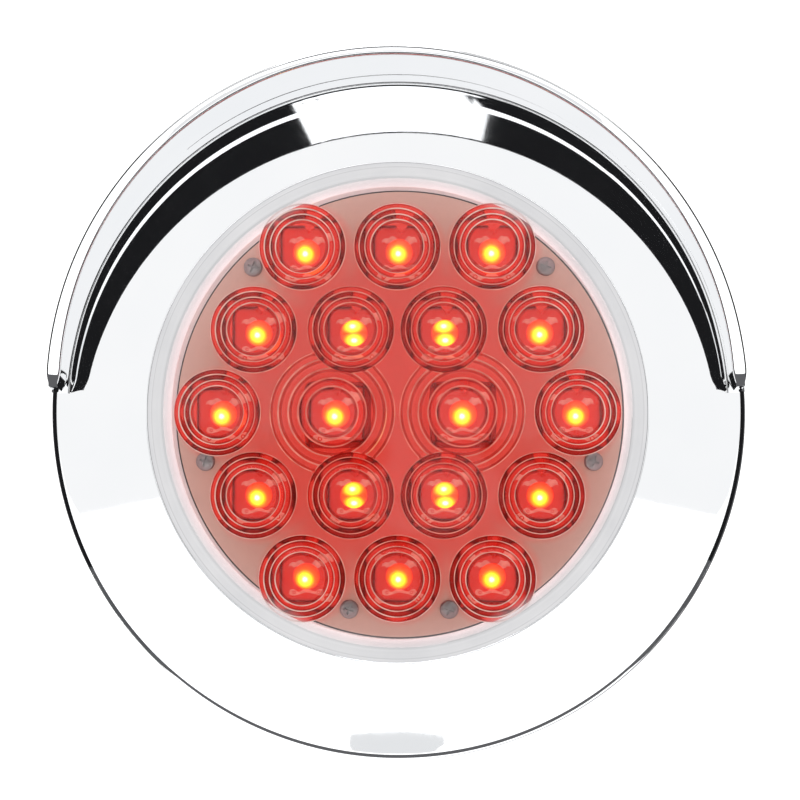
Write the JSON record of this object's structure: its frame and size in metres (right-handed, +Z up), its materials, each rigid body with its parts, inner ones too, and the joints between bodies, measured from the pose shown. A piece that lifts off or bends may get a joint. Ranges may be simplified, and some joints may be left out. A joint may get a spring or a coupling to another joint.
{
  "type": "trailer tail light",
  "caption": "Round flush-mount LED stop and tail lamp in a rubber grommet, with a chrome push-fit bezel whose half-round visor shades the clear lens.",
  "frame": {"origin": "centre of the round panel cut-out, in the plane of the panel's front face", "axes": "+Z up with the visor on top, +X to the viewer's right, the lens and visor face -Y and the lamp's body goes back along +Y"},
  "size_m": [0.1442, 0.0713, 0.1442],
  "materials": {
    "chrome_abs": "mirror chrome plating on ABS",
    "black_abs": "moulded",
    "rubber": "matte",
    "housing": "moulded",
    "clear_lens": "clear polycarbonate",
    "clear_optics": "clear polycarbonate",
    "board": "white solder mask",
    "led": "red epoxy, lit",
    "terminal": "plated",
    "screw": "zinc plated",
    "seal": "grey silicone",
    "epoxy": "potting epoxy",
    "chip": "printed film resistor",
    "diode": "moulded package"
  },
  "bodies": {
    "grommet": {"rubber_grommet": "rubber"},
    "lamp": {"lamp_housing": "housing", "lens": "clear_lens", "lens_seal": "seal", "optic_plate": "clear_optics", "circuit_board": "board", "terminal_potting": "epoxy", "led_01": "led", "led_02": "led", "led_03": "led", "led_04": "led", "led_05": "led", "led_06": "led", "led_07": "led", "led_08": "led", "led_09": "led", "led_10": "led", "led_11": "led", "led_12": "led", "led_13": "led", "led_14": "led", "led_15": "led", "led_16": "led", "led_17": "led", "led_18": "led", "resistor_1": "chip", "resistor_2": "chip", "resistor_3": "chip", "resistor_4": "chip", "resistor_5": "chip", "resistor_6": "chip", "diode_1": "diode", "diode_2": "diode", "diode_3": "diode", "board_screw_1": "screw", "board_screw_2": "screw", "board_screw_3": "screw", "board_screw_4": "screw", "board_screw_5": "screw", "board_screw_6": "screw", "terminal_tail": "terminal", "terminal_ground": "terminal", "terminal_stop": "terminal"},
    "retainer": {"claw_ring": "black_abs"},
    "bezel": {"bezel_visor": "chrome_abs"}
  },
  "joints": [
    {"name": "lamp_pull", "type": "slide", "parent": "grommet", "child": "lamp", "axis": [0, -1, 0], "range_m": [0, 0.04]},
    {"name": "bezel_pull", "type": "slide", "parent": "lamp", "child": "retainer", "axis": [0, -1, 0], "range_m": [0, 0.03]},
    {"name": "visor_turn", "type": "hinge", "parent": "retainer", "child": "bezel", "pos_m": [0, 0, 0], "axis": [0, 1, 0], "continuous": true}
  ]
}
